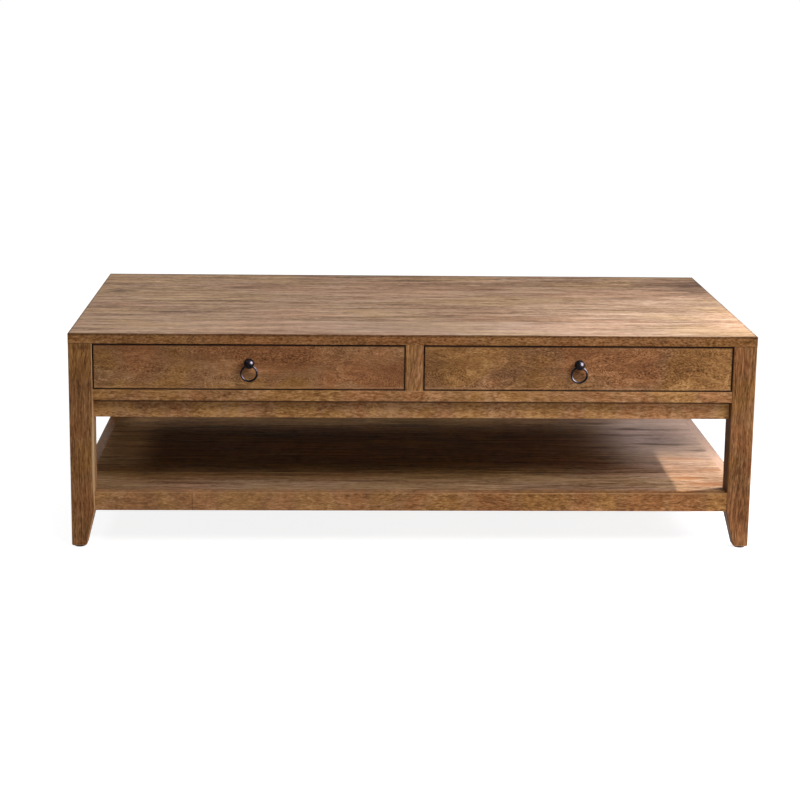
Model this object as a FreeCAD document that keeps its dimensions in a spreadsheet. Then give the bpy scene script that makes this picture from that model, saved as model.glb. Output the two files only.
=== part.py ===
import FreeCAD, Part
import math
import os
import re
import Sketcher

os.makedirs("parts", exist_ok=True)
doc = FreeCAD.newDocument("coffee_table")

# Sizes in millimetres
SIZES = {
    "table_length": 1400,
    "table_depth": 700,
    "table_height": 450,
    "top_thickness": 21,
    "top_arris": 1,
    "leg_width": 48,
    "leg_arris": 1.5,
    "foot_width": 30,
    "foot_chamfer": 3,
    "glide_thickness": 3,
    "glide_radius": 11,
    "glide_pin_radius": 1.8,
    "glide_pin_length": 10,
    "drawer_opening": 95.4,
    "drawer_rail_height": 22.2,
    "drawer_rail_depth": 60,
    "drawer_rail_setback": 1,
    "front_apron_height": 40,
    "front_apron_thickness": 20,
    "front_apron_setback": 22,
    "apron_thickness": 21,
    "apron_setback": 4,
    "stile_width": 36,
    "stile_depth": 40,
    "stile_tenon": 20,
    "stile_tenon_length": 10,
    "tenon_length": 24,
    "tenon_thickness": 8,
    "tenon_shoulder": 8,
    "apron_tenon_shoulder": 15,
    "drawer_rail_tenon_width": 30,
    "joint_clearance": 0.1,
    "joint_end_gap": 0.5,
    "runner_width": 60,
    "runner_thickness": 20,
    "runner_tenon_inset": 28,
    "runner_tenon_width": 30,
    "runner_tenon_length": 10,
    "bearer_width": 90,
    "guide_height": 24,
    "guide_gap": 1,
    "kicker_width": 60,
    "centre_kicker_width": 80,
    "kicker_thickness": 15,
    "stop_width": 30,
    "stop_depth": 22,
    "stop_height": 6,
    "stop_inset": 80,
    "stop_gap": 0.3,
    "shelf_height": 117.5,
    "shelf_rail_height": 38.5,
    "shelf_rail_thickness": 21,
    "shelf_rail_setback": 2,
    "shelf_thickness": 18,
    "shelf_bearer_width": 60,
    "shelf_bearer_height": 20,
    "shelf_bearer_tenon_width": 40,
    "shelf_bearer_tenon_length": 10,
    "cleat_width": 18,
    "cleat_height": 18,
    "screw_radius": 2,
    "screw_head_radius": 4,
    "screw_head_height": 2.5,
    "screw_head_recess": 0.5,
    "screw_bite": 12,
    "screw_socket_radius": 1.6,
    "screw_socket_depth": 1.5,
    "drawer_top_gap": 2.5,
    "drawer_side_gap": 2,
    "drawer_bottom_gap": 1.5,
    "drawer_running_gap": 0.3,
    "drawer_front_thickness": 20,
    "drawer_front_arris": 0.8,
    "drawer_side_thickness": 12,
    "drawer_side_height": 78,
    "drawer_side_length": 500,
    "drawer_back_thickness": 12,
    "drawer_back_inset": 10,
    "drawer_back_drop": 4,
    "drawer_housing": 5,
    "drawer_bottom_thickness": 6,
    "drawer_bottom_rise": 9,
    "drawer_bottom_groove": 6,
    "tail_length": 14,
    "tail_pitch": 26,
    "tail_root": 16,
    "tail_tip": 22,
    "knob_radius": 10.8,
    "knob_out": 13.5,
    "knob_rise": 10.7,
    "knob_neck_radius": 5,
    "knob_flange_radius": 7.5,
    "knob_flange_thickness": 2,
    "knob_stud_radius": 2,
    "knob_stud_end": 7,
    "ring_radius": 15.9,
    "ring_wire_radius": 2.1,
    "ring_hole_drop": 4.6,
    "ring_clearance": 0.3,
    "ring_hole_clearance": 0.5,
    "nut_radius": 4.6,
    "nut_thickness": 3.2,
    "nut_flange_radius": 6.5,
    "nut_flange_thickness": 1.2,
}
TOP_BOARDS = 5
SHELF_BOARDS = 5
TAILS = 3

# Swing of each ring in degrees from hanging, and the turn that its wire's own width adds
SWING_OUTWARD = 95
SWING_INWARD = 20
WIRE_TURN = 60

# Half width of the flared passage for the ring, as a share of the ball's radius
PASSAGE_SHARE = 0.95

sheet = doc.addObject("Spreadsheet::Sheet", "sizes")
for row, (name, value) in enumerate(SIZES.items(), start=1):
    sheet.set(f"A{row}", name)
    sheet.set(f"B{row}", str(value))
    sheet.setAlias(f"B{row}", name)
doc.recompute()

# Levels and planes, as sums of the named sizes
FRONT = "(knob_out + knob_radius - drawer_rail_setback - table_depth)/2"
LEFT = "-table_length/2"
UNDER_TOP = "table_height - top_thickness"
RAIL_TOP = "table_height - top_thickness - drawer_opening"
RAIL_BOTTOM = RAIL_TOP + " - drawer_rail_height"
APRON_BOTTOM = RAIL_BOTTOM + " - front_apron_height"
SHELF_RAIL_BOTTOM = "shelf_height - shelf_rail_height"
BETWEEN_LEGS = "table_length - 2*leg_width"
BETWEEN_SIDE_LEGS = "table_depth - 2*leg_width"
APRON_INNER = "(apron_setback + apron_thickness)"
BACK_APRON_FACE = "(table_depth - apron_setback - apron_thickness)"
RAIL_BACK = "(drawer_rail_setback + drawer_rail_depth)"
DRAWER_WIDTH = "(table_length/2 - leg_width - stile_width/2 - 2*drawer_side_gap)"
DRAWER_HEIGHT = "(drawer_opening - drawer_top_gap - drawer_bottom_gap)"
DRAWER_BACK_OF_FRONT = "(drawer_rail_setback + drawer_front_thickness)"
FRONT_RISE = "(drawer_bottom_gap - drawer_running_gap)"


def bound(expression):
    return re.sub(r"[a-z]\w*", lambda word: "sizes." + word.group(), expression)


def measure(expression):
    return float(sheet.evalExpression(bound(expression)))


def place(item, x, y, z):
    for axis, value in (("x", x), ("y", y), ("z", z)):
        item.setExpression("Placement.Base." + axis, bound(value))


def piece(label, x, behind_front, z, turn=0):
    body = doc.addObject("PartDesign::Body", label)
    body.Label = label
    body.Placement = FreeCAD.Placement(
        FreeCAD.Vector(), FreeCAD.Rotation(FreeCAD.Vector(0, 0, 1), turn))
    place(body, x, f"{FRONT} + {behind_front}", z)
    return body


def block(body, name, corner, sides, cut=False):
    kind = "PartDesign::SubtractiveBox" if cut else "PartDesign::AdditiveBox"
    box = body.newObject(kind, name)
    for side, value in zip(("Length", "Width", "Height"), sides):
        box.setExpression(side, bound(value))
    place(box, *corner)
    return box


TURNS = {
    "x": FreeCAD.Rotation(FreeCAD.Vector(0, 1, 0), 90),
    "y": FreeCAD.Rotation(FreeCAD.Vector(1, 0, 0), -90),
    "z": FreeCAD.Rotation(),
}
# Turns a ball's poles to front and back, and its seam to the top
POLES_ALONG_Y = FreeCAD.Rotation(FreeCAD.Vector(1, 1, 1), 240)


def rod(body, name, start, radius, length, axis="z", cut=False):
    kind = "PartDesign::SubtractiveCylinder" if cut else "PartDesign::AdditiveCylinder"
    item = body.newObject(kind, name)
    item.Placement = FreeCAD.Placement(FreeCAD.Vector(), TURNS[axis])
    item.setExpression("Radius", bound(radius))
    item.setExpression("Height", bound(length))
    place(item, *start)
    return item


def prism(body, name, start, radius, length, axis="z", cut=False):
    kind = "PartDesign::SubtractivePrism" if cut else "PartDesign::AdditivePrism"
    item = body.newObject(kind, name)
    item.Polygon = 6
    item.Placement = FreeCAD.Placement(FreeCAD.Vector(), TURNS[axis])
    item.setExpression("Circumradius", bound(radius))
    item.setExpression("Height", bound(length))
    place(item, *start)
    return item


def origin_plane(body, role):
    return next(part for part in body.Origin.OriginFeatures if part.Role == role)


def empty_sketch(body, name, role):
    sketch = body.newObject("Sketcher::SketchObject", name)
    sketch.AttachmentSupport = [(origin_plane(body, role), "")]
    sketch.MapMode = "FlatFace"
    return sketch


def pin_point(sketch, segment, end, x, y):
    for kind, value in (("DistanceX", x), ("DistanceY", y)):
        rule = Sketcher.Constraint(kind, -1, 1, segment, end, measure(value))
        number = sketch.addConstraint(rule)
        sketch.setExpression(f"Constraints[{number}]", bound(value))


def polygon(sketch, corners):
    first = sketch.GeometryCount
    spots = [FreeCAD.Vector(measure(x), measure(y), 0) for x, y in corners]
    for spot, following in zip(spots, spots[1:] + spots[:1]):
        sketch.addGeometry(Part.LineSegment(spot, following))
    count = len(corners)
    for step in range(count):
        following = first + (step + 1) % count
        sketch.addConstraint(Sketcher.Constraint("Coincident", first + step, 2, following, 1))
    for step, (x, y) in enumerate(corners):
        pin_point(sketch, first + step, 1, x, y)


def outline(body, name, role, corners):
    sketch = empty_sketch(body, name, role)
    polygon(sketch, corners)
    return sketch


def pad(body, name, sketch, length, flip=False):
    item = body.newObject("PartDesign::Pad", name)
    item.Profile = sketch
    item.setExpression("Length", bound(length))
    item.Reversed = flip
    return item


def pocket(body, name, sketch, length, flip=False):
    item = body.newObject("PartDesign::Pocket", name)
    item.Profile = sketch
    item.setExpression("Length", bound(length))
    item.Reversed = flip
    return item


def ease(body, name, width, wanted):
    doc.recompute()
    base = body.Tip
    picked = []
    for number, edge in enumerate(base.Shape.Edges, start=1):
        ends = [vertex.Point for vertex in edge.Vertexes]
        if len(ends) == 2 and wanted(*ends):
            picked.append(f"Edge{number}")
    item = body.newObject("PartDesign::Chamfer", name)
    item.Base = (base, picked)
    item.setExpression("Size", bound(width))


# How near in length two heights count as one
SAME_LEVEL = 1e-4


def along(axis, start, end):
    step = end - start
    return abs(getattr(step, axis)) > 0.9 * step.Length


def level(axis, height, *points):
    return all(abs(getattr(point, axis) - measure(height)) < SAME_LEVEL for point in points)


# Top boards, edge to edge
TOP_BOARD = f"table_depth/{TOP_BOARDS}"


def top_edge(board):
    def wanted(start, end):
        if not level("z", "top_thickness", start, end):
            return False
        if level("x", "0", start, end) or level("x", "table_length", start, end):
            return True
        if board == 1 and level("y", "0", start, end):
            return True
        return board == TOP_BOARDS and level("y", TOP_BOARD, start, end)
    return wanted


KICKER_CENTRES = {
    "left": f"{APRON_INNER} + kicker_width/2",
    "centre": "table_length/2",
    "right": f"table_length - {APRON_INNER} - kicker_width/2",
}
SCREWED_BOARDS = (1, (TOP_BOARDS + 1) // 2, TOP_BOARDS)
for board in range(1, TOP_BOARDS + 1):
    body = piece(f"top_board_{board}", LEFT, f"{board - 1}*{TOP_BOARD}", UNDER_TOP)
    block(body, "board", ("0", "0", "0"), ("table_length", TOP_BOARD, "top_thickness"))
    if board in SCREWED_BOARDS:
        for side, centre in KICKER_CENTRES.items():
            rod(body, f"screw_hole_{side}", (centre, f"{TOP_BOARD}/2", "0"),
                "screw_radius + joint_clearance", "screw_bite + joint_end_gap", cut=True)
    ease(body, "arris", "top_arris", top_edge(board))

# Legs, two inner faces tapered below the shelf, mortised for the rails
LEG_LENGTH = "(table_height - top_thickness - glide_thickness)"
TAPER_TOP = "(shelf_height - shelf_rail_height - glide_thickness)"


def mortise(leg, name, face, across, width, low, high):
    depth = "tenon_length + joint_end_gap"
    reach = "leg_width - tenon_length - joint_end_gap"
    side = f"{across} - joint_clearance"
    bottom = f"{low} - glide_thickness - joint_clearance"
    room = f"{width} + 2*joint_clearance"
    tall = f"({high}) - ({low}) + 2*joint_clearance"
    if face == "x":
        block(leg, name, (reach, side, bottom), (depth, room, tall), cut=True)
    else:
        block(leg, name, (side, reach, bottom), (room, depth, tall), cut=True)


def leg(label, x, behind_front, turn, long_face, side_face, at_front):
    body = piece(label, x, behind_front, "glide_thickness", turn)
    blank = outline(body, "front_shape", "XZ_Plane", [
        ("0", "0"), ("foot_width", "0"), ("leg_width", TAPER_TOP),
        ("leg_width", LEG_LENGTH), ("0", LEG_LENGTH)])
    pad(body, "blank", blank, "leg_width", flip=True)
    taper = outline(body, "side_taper", "YZ_Plane", [
        ("foot_width", "0"), ("2*leg_width", "0"), ("2*leg_width", TAPER_TOP),
        ("leg_width", TAPER_TOP)])
    pocket(body, "taper", taper, "leg_width", flip=True)
    ease(body, "foot_edge", "foot_chamfer", lambda start, end: level("z", "0", start, end))
    ease(body, "arris", "leg_arris", lambda start, end: along("z", start, end))
    centred = "(apron_thickness - tenon_thickness)/2"
    if at_front:
        mortise(body, "drawer_rail_mortise", long_face, "drawer_rail_setback + tenon_shoulder",
                "drawer_rail_tenon_width",
                f"{RAIL_TOP} - (drawer_rail_height + tenon_thickness)/2",
                f"{RAIL_TOP} - (drawer_rail_height - tenon_thickness)/2")
        mortise(body, "front_apron_mortise", long_face,
                "front_apron_setback + (front_apron_thickness - tenon_thickness)/2",
                "tenon_thickness", f"{APRON_BOTTOM} + tenon_shoulder",
                f"{RAIL_BOTTOM} - tenon_shoulder")
    else:
        mortise(body, "back_apron_mortise", long_face, f"apron_setback + {centred}",
                "tenon_thickness", f"{APRON_BOTTOM} + apron_tenon_shoulder",
                f"{UNDER_TOP} - apron_tenon_shoulder")
    mortise(body, "side_apron_mortise", side_face, f"apron_setback + {centred}",
            "tenon_thickness", f"{APRON_BOTTOM} + apron_tenon_shoulder",
            f"{UNDER_TOP} - apron_tenon_shoulder")
    in_rail = "(shelf_rail_thickness - tenon_thickness)/2"
    mortise(body, "shelf_rail_mortise", long_face, f"shelf_rail_setback + {in_rail}",
            "tenon_thickness", f"{SHELF_RAIL_BOTTOM} + tenon_shoulder",
            "shelf_height - tenon_shoulder")
    mortise(body, "shelf_side_mortise", side_face, f"apron_setback + {in_rail}",
            "tenon_thickness", f"{SHELF_RAIL_BOTTOM} + tenon_shoulder",
            "shelf_height - tenon_shoulder")
    rod(body, "glide_hole", ("foot_width/2", "foot_width/2", "0"),
        "glide_pin_radius + joint_clearance", "glide_pin_length + joint_end_gap", cut=True)


leg("leg_front_left", LEFT, "0", 0, "x", "y", True)
leg("leg_front_right", "table_length/2", "0", 90, "y", "x", True)
leg("leg_back_right", "table_length/2", "table_depth", 180, "x", "y", False)
leg("leg_back_left", LEFT, "table_depth", 270, "y", "x", False)

# Glides under the feet
for row, depth in (("front", "foot_width/2"), ("back", "table_depth - foot_width/2")):
    for side, x in (("left", f"{LEFT} + foot_width/2"), ("right", "table_length/2 - foot_width/2")):
        body = piece(f"foot_glide_{row}_{side}", x, depth, "0")
        rod(body, "pad", ("0", "0", "0"), "glide_radius", "glide_thickness")
        rod(body, "pin", ("0", "0", "0"), "glide_pin_radius", "glide_thickness + glide_pin_length")

# Rail below the drawers, with its tenons, stub mortises and the stile's mortise
body = piece("front_drawer_rail", f"{LEFT} + leg_width", "drawer_rail_setback", RAIL_BOTTOM)
block(body, "rail", ("0", "0", "0"), (BETWEEN_LEGS, "drawer_rail_depth", "drawer_rail_height"))
block(body, "tenons", ("-tenon_length", "tenon_shoulder", "(drawer_rail_height - tenon_thickness)/2"),
      (BETWEEN_LEGS + " + 2*tenon_length", "drawer_rail_tenon_width", "tenon_thickness"))
block(body, "stile_mortise",
      (f"({BETWEEN_LEGS} - stile_tenon)/2 - joint_clearance",
       "(stile_depth - stile_tenon)/2 - joint_clearance",
       "drawer_rail_height - stile_tenon_length - joint_end_gap"),
      ("stile_tenon + 2*joint_clearance", "stile_tenon + 2*joint_clearance",
       "stile_tenon_length + joint_end_gap"), cut=True)
STUB_SPOTS = {
    "left": f"{APRON_INNER} + runner_tenon_inset",
    "centre": "(table_length - runner_tenon_width)/2",
    "right": f"table_length - {APRON_INNER} - runner_tenon_inset - runner_tenon_width",
}
STUB_RISE = "(runner_thickness - tenon_thickness)/2"
for side, spot in STUB_SPOTS.items():
    block(body, f"runner_mortise_{side}",
          (f"{spot} - leg_width - joint_clearance",
           "drawer_rail_depth - runner_tenon_length - joint_end_gap",
           f"drawer_rail_height - runner_thickness + {STUB_RISE} - joint_clearance"),
          ("runner_tenon_width + 2*joint_clearance", "runner_tenon_length + joint_end_gap",
           "tenon_thickness + 2*joint_clearance"), cut=True)

# Apron below the drawer rail, set back between the front legs
body = piece("front_apron", f"{LEFT} + leg_width", "front_apron_setback", APRON_BOTTOM)
block(body, "board", ("0", "0", "0"),
      (BETWEEN_LEGS, "front_apron_thickness", "front_apron_height"))
block(body, "tenons", ("-tenon_length", "(front_apron_thickness - tenon_thickness)/2", "tenon_shoulder"),
      (BETWEEN_LEGS + " + 2*tenon_length", "tenon_thickness",
       "front_apron_height - 2*tenon_shoulder"))

# Stile between the drawers
body = piece("centre_stile", "-stile_width/2", "drawer_rail_setback", RAIL_TOP)
block(body, "post", ("0", "0", "0"), ("stile_width", "stile_depth", "drawer_opening"))
block(body, "tenon",
      ("(stile_width - stile_tenon)/2", "(stile_depth - stile_tenon)/2", "-stile_tenon_length"),
      ("stile_tenon", "stile_tenon", "stile_tenon_length"))

# Side aprons
APRON_HEIGHT = f"({UNDER_TOP}) - ({APRON_BOTTOM})"
for side, x in (("left", f"{LEFT} + apron_setback"),
                ("right", f"table_length/2 - {APRON_INNER}")):
    body = piece(f"side_apron_{side}", x, "leg_width", APRON_BOTTOM)
    block(body, "board", ("0", "0", "0"), ("apron_thickness", BETWEEN_SIDE_LEGS, APRON_HEIGHT))
    block(body, "tenons",
          ("(apron_thickness - tenon_thickness)/2", "-tenon_length", "apron_tenon_shoulder"),
          ("tenon_thickness", BETWEEN_SIDE_LEGS + " + 2*tenon_length",
           APRON_HEIGHT + " - 2*apron_tenon_shoulder"))

# Back apron, mortised for the runners
body = piece("back_apron", f"{LEFT} + leg_width", BACK_APRON_FACE, APRON_BOTTOM)
block(body, "board", ("0", "0", "0"), (BETWEEN_LEGS, "apron_thickness", APRON_HEIGHT))
block(body, "tenons",
      ("-tenon_length", "(apron_thickness - tenon_thickness)/2", "apron_tenon_shoulder"),
      (BETWEEN_LEGS + " + 2*tenon_length", "tenon_thickness",
       APRON_HEIGHT + " - 2*apron_tenon_shoulder"))
for side, spot in STUB_SPOTS.items():
    block(body, f"runner_mortise_{side}",
          (f"{spot} - leg_width - joint_clearance", "0",
           f"front_apron_height + drawer_rail_height - runner_thickness + {STUB_RISE}"
           " - joint_clearance"),
          ("runner_tenon_width + 2*joint_clearance", "runner_tenon_length + joint_end_gap",
           "tenon_thickness + 2*joint_clearance"), cut=True)

# Runners, bearer and guides that carry the drawers
RUNNER_LENGTH = f"({BACK_APRON_FACE} - {RAIL_BACK})"
RUNNER_LEVEL = RAIL_TOP + " - runner_thickness"
LEG_NOTCH = f"(leg_width - {APRON_INNER})"


def stub_tenons(body, x):
    block(body, "stub_tenons", (x, "-runner_tenon_length", STUB_RISE),
          ("runner_tenon_width", RUNNER_LENGTH + " + 2*runner_tenon_length", "tenon_thickness"))


for side in ("left", "right"):
    left = side == "left"
    x = f"{LEFT} + {APRON_INNER}" if left else f"table_length/2 - {APRON_INNER} - runner_width"
    body = piece(f"side_runner_{side}", x, RAIL_BACK, RUNNER_LEVEL)
    block(body, "runner", ("0", "0", "0"), ("runner_width", RUNNER_LENGTH, "runner_thickness"))
    stub_tenons(body, "runner_tenon_inset" if left
                else "runner_width - runner_tenon_inset - runner_tenon_width")
    block(body, "leg_notch",
          ("0" if left else f"runner_width - {LEG_NOTCH}", f"{RUNNER_LENGTH} - {LEG_NOTCH}", "0"),
          (LEG_NOTCH, LEG_NOTCH, "runner_thickness"), cut=True)

    width = f"({LEG_NOTCH} + drawer_side_gap - guide_gap)"
    x = f"{LEFT} + {APRON_INNER}" if left else f"table_length/2 - {APRON_INNER} - {width}"
    body = piece(f"side_guide_{side}", x, "leg_width", RAIL_TOP)
    block(body, "guide", ("0", "0", "0"), (width, BETWEEN_SIDE_LEGS, "guide_height"))

body = piece("centre_bearer", "-bearer_width/2", RAIL_BACK, RUNNER_LEVEL)
block(body, "bearer", ("0", "0", "0"), ("bearer_width", RUNNER_LENGTH, "runner_thickness"))
stub_tenons(body, "(bearer_width - runner_tenon_width)/2")

STILE_BACK = "(drawer_rail_setback + stile_depth)"
GUIDE_WIDTH = "(stile_width + 2*drawer_side_gap - 2*guide_gap)"
body = piece("centre_guide", f"-{GUIDE_WIDTH}/2", STILE_BACK, RAIL_TOP)
block(body, "guide", ("0", "0", "0"),
      (GUIDE_WIDTH, f"{BACK_APRON_FACE} - {STILE_BACK}", "guide_height"))

# Kickers under the top, drilled for the top's screws
KICKER_LEVEL = UNDER_TOP + " - kicker_thickness"
KICKERS = {
    "left": (f"{LEFT} + {APRON_INNER}", "leg_width", "kicker_width", BETWEEN_SIDE_LEGS),
    "centre": ("-centre_kicker_width/2", STILE_BACK, "centre_kicker_width",
               f"{BACK_APRON_FACE} - {STILE_BACK}"),
    "right": (f"table_length/2 - {APRON_INNER} - kicker_width", "leg_width", "kicker_width",
              BETWEEN_SIDE_LEGS),
}
for side, (x, start, width, length) in KICKERS.items():
    body = piece(f"kicker_{side}", x, start, KICKER_LEVEL)
    block(body, "kicker", ("0", "0", "0"), (width, length, "kicker_thickness"))
    for board in SCREWED_BOARDS:
        rod(body, f"screw_hole_{board}",
            (f"{width}/2", f"{board - 0.5}*{TOP_BOARD} - {start}", "0"),
            "screw_radius + joint_clearance", "kicker_thickness", cut=True)
        rod(body, f"head_recess_{board}",
            (f"{width}/2", f"{board - 0.5}*{TOP_BOARD} - {start}", "0"),
            "screw_head_radius + joint_clearance", "screw_head_recess + screw_head_height",
            cut=True)

# Screws that hold the top down, their heads sunk in the kickers
body = piece("top_screws", LEFT, "0", KICKER_LEVEL)
for side, centre in KICKER_CENTRES.items():
    for board in SCREWED_BOARDS:
        spot = (centre, f"{board - 0.5}*{TOP_BOARD}")
        rod(body, f"shank_{side}_{board}", (*spot, "screw_head_recess"), "screw_radius",
            "kicker_thickness - screw_head_recess + screw_bite")
        rod(body, f"head_{side}_{board}", (*spot, "screw_head_recess"), "screw_head_radius",
            "screw_head_height")
        prism(body, f"socket_{side}_{board}", (*spot, "screw_head_recess"),
              "screw_socket_radius", "screw_socket_depth", cut=True)

# Stop blocks on the rail, behind each drawer front
DRAWER_LEFT_EDGES = {
    "left": f"{LEFT} + leg_width + drawer_side_gap",
    "right": "stile_width/2 + drawer_side_gap",
}
for side, x in DRAWER_LEFT_EDGES.items():
    body = piece(f"drawer_stops_{side}", x, f"{DRAWER_BACK_OF_FRONT} + stop_gap", RAIL_TOP)
    for name, spot in (("near", "stop_inset"),
                       ("far", f"{DRAWER_WIDTH} - stop_inset - stop_width")):
        block(body, name, (spot, "0", "0"), ("stop_width", "stop_depth", "stop_height"))

# Shelf rails
for row, start in (("front", "shelf_rail_setback"),
                   ("back", "table_depth - shelf_rail_setback - shelf_rail_thickness")):
    body = piece(f"shelf_{row}_rail", f"{LEFT} + leg_width", start, SHELF_RAIL_BOTTOM)
    block(body, "rail", ("0", "0", "0"),
          (BETWEEN_LEGS, "shelf_rail_thickness", "shelf_rail_height"))
    block(body, "tenons",
          ("-tenon_length", "(shelf_rail_thickness - tenon_thickness)/2", "tenon_shoulder"),
          (BETWEEN_LEGS + " + 2*tenon_length", "tenon_thickness",
           "shelf_rail_height - 2*tenon_shoulder"))
    depth = "shelf_bearer_tenon_length + joint_end_gap"
    inner = "0" if row == "back" else "shelf_rail_thickness - shelf_bearer_tenon_length - joint_end_gap"
    block(body, "bearer_mortise",
          (f"({BETWEEN_LEGS} - shelf_bearer_tenon_width)/2 - joint_clearance", inner,
           "shelf_rail_height - shelf_thickness - shelf_bearer_height/2 - tenon_thickness/2"
           " - joint_clearance"),
          ("shelf_bearer_tenon_width + 2*joint_clearance", depth,
           "tenon_thickness + 2*joint_clearance"), cut=True)
for side, x in (("left", f"{LEFT} + apron_setback"),
                ("right", "table_length/2 - apron_setback - shelf_rail_thickness")):
    body = piece(f"shelf_side_rail_{side}", x, "leg_width", SHELF_RAIL_BOTTOM)
    block(body, "rail", ("0", "0", "0"),
          ("shelf_rail_thickness", BETWEEN_SIDE_LEGS, "shelf_rail_height"))
    block(body, "tenons",
          ("(shelf_rail_thickness - tenon_thickness)/2", "-tenon_length", "tenon_shoulder"),
          ("tenon_thickness", BETWEEN_SIDE_LEGS + " + 2*tenon_length",
           "shelf_rail_height - 2*tenon_shoulder"))

# Cleats and cross bearer under the shelf
SHELF_UNDER = "(shelf_height - shelf_thickness)"
SHELF_SIDE = "(apron_setback + shelf_rail_thickness)"
SHELF_START = "(shelf_rail_setback + shelf_rail_thickness)"
for side, x in (("left", f"{LEFT} + {SHELF_SIDE}"),
                ("right", f"table_length/2 - {SHELF_SIDE} - cleat_width")):
    body = piece(f"shelf_cleat_{side}", x, "leg_width", f"{SHELF_UNDER} - cleat_height")
    block(body, "cleat", ("0", "0", "0"), ("cleat_width", BETWEEN_SIDE_LEGS, "cleat_height"))
SHELF_DEPTH = f"(table_depth - 2*{SHELF_START})"
body = piece("shelf_cross_bearer", "-shelf_bearer_width/2", SHELF_START,
             f"{SHELF_UNDER} - shelf_bearer_height")
block(body, "bearer", ("0", "0", "0"), ("shelf_bearer_width", SHELF_DEPTH, "shelf_bearer_height"))
block(body, "tenons",
      ("(shelf_bearer_width - shelf_bearer_tenon_width)/2", "-shelf_bearer_tenon_length",
       "(shelf_bearer_height - tenon_thickness)/2"),
      ("shelf_bearer_tenon_width", SHELF_DEPTH + " + 2*shelf_bearer_tenon_length",
       "tenon_thickness"))

# Shelf boards, the outer two notched round the legs
SHELF_BOARD = f"({SHELF_DEPTH}/{SHELF_BOARDS})"
SHELF_LENGTH = f"(table_length - 2*{SHELF_SIDE})"
NOTCH_X = f"(leg_width - {SHELF_SIDE})"
NOTCH_Y = f"(leg_width - {SHELF_START})"
for board in range(1, SHELF_BOARDS + 1):
    body = piece(f"shelf_board_{board}", f"{LEFT} + {SHELF_SIDE}",
                 f"{SHELF_START} + {board - 1}*{SHELF_BOARD}", SHELF_UNDER)
    block(body, "board", ("0", "0", "0"), (SHELF_LENGTH, SHELF_BOARD, "shelf_thickness"))
    if board in (1, SHELF_BOARDS):
        y = "0" if board == 1 else f"{SHELF_BOARD} - {NOTCH_Y}"
        for side, x in (("left", "0"), ("right", f"{SHELF_LENGTH} - {NOTCH_X}")):
            block(body, f"notch_{side}", (x, y, "0"), (NOTCH_X, NOTCH_Y, "shelf_thickness"), cut=True)


# Drawers: lapped dovetails in front, bottom in grooves, back housed in the sides
def tail_centre(number):
    return f"{number + 0.5}*tail_pitch"


def tails(rise):
    for number in range(TAILS):
        yield number, f"{tail_centre(number)} - {rise}"


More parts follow.
